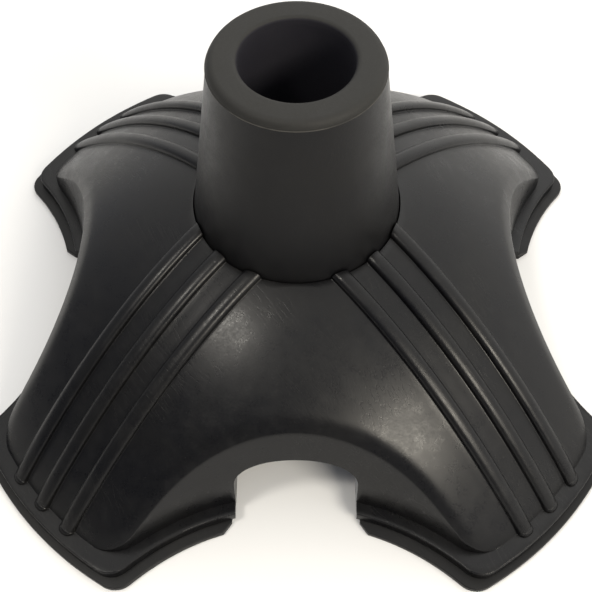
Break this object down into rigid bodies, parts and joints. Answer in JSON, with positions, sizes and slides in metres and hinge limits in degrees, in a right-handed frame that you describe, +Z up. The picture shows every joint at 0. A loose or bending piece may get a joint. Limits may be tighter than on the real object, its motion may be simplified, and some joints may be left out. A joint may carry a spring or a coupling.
{
  "type": "quad cane tip",
  "caption": "Domed rubber quad tip for a walking cane: ribbed four-legged base on tread soles, flexible neck and a tapered socket for the cane tube.",
  "frame": {"origin": "on the ground under the middle of the base", "axes": "+Z up along the socket, -Y to the front, the four legs on the diagonals between X and Y"},
  "size_m": [0.1184, 0.1184, 0.0682],
  "materials": {
    "moulded_rubber": "satin moulded black rubber",
    "socket_rubber": "matte moulded black rubber",
    "neck_rubber": "matte soft black rubber",
    "tread_rubber": "matte black tread rubber",
    "plated_steel": "dull zinc plate"
  },
  "bodies": {
    "base": {"base_shell": "moulded_rubber", "tread_sole_front_left": "tread_rubber", "tread_sole_front_right": "tread_rubber", "tread_sole_rear_left": "tread_rubber", "tread_sole_rear_right": "tread_rubber"},
    "neck": {"flex_ring": "neck_rubber"},
    "socket": {"socket_collar": "socket_rubber", "load_disc": "plated_steel"}
  },
  "joints": [
    {"name": "neck_pitch", "type": "hinge", "parent": "base", "child": "neck", "pos_m": [0, 0, 0.03235], "axis": [1, 0, 0], "range_deg": [-6, 6], "stiffness_Nm_per_rad": 6},
    {"name": "neck_roll", "type": "hinge", "parent": "neck", "child": "socket", "pos_m": [0, 0, 0.03235], "axis": [0, 1, 0], "range_deg": [-6, 6], "stiffness_Nm_per_rad": 6}
  ]
}
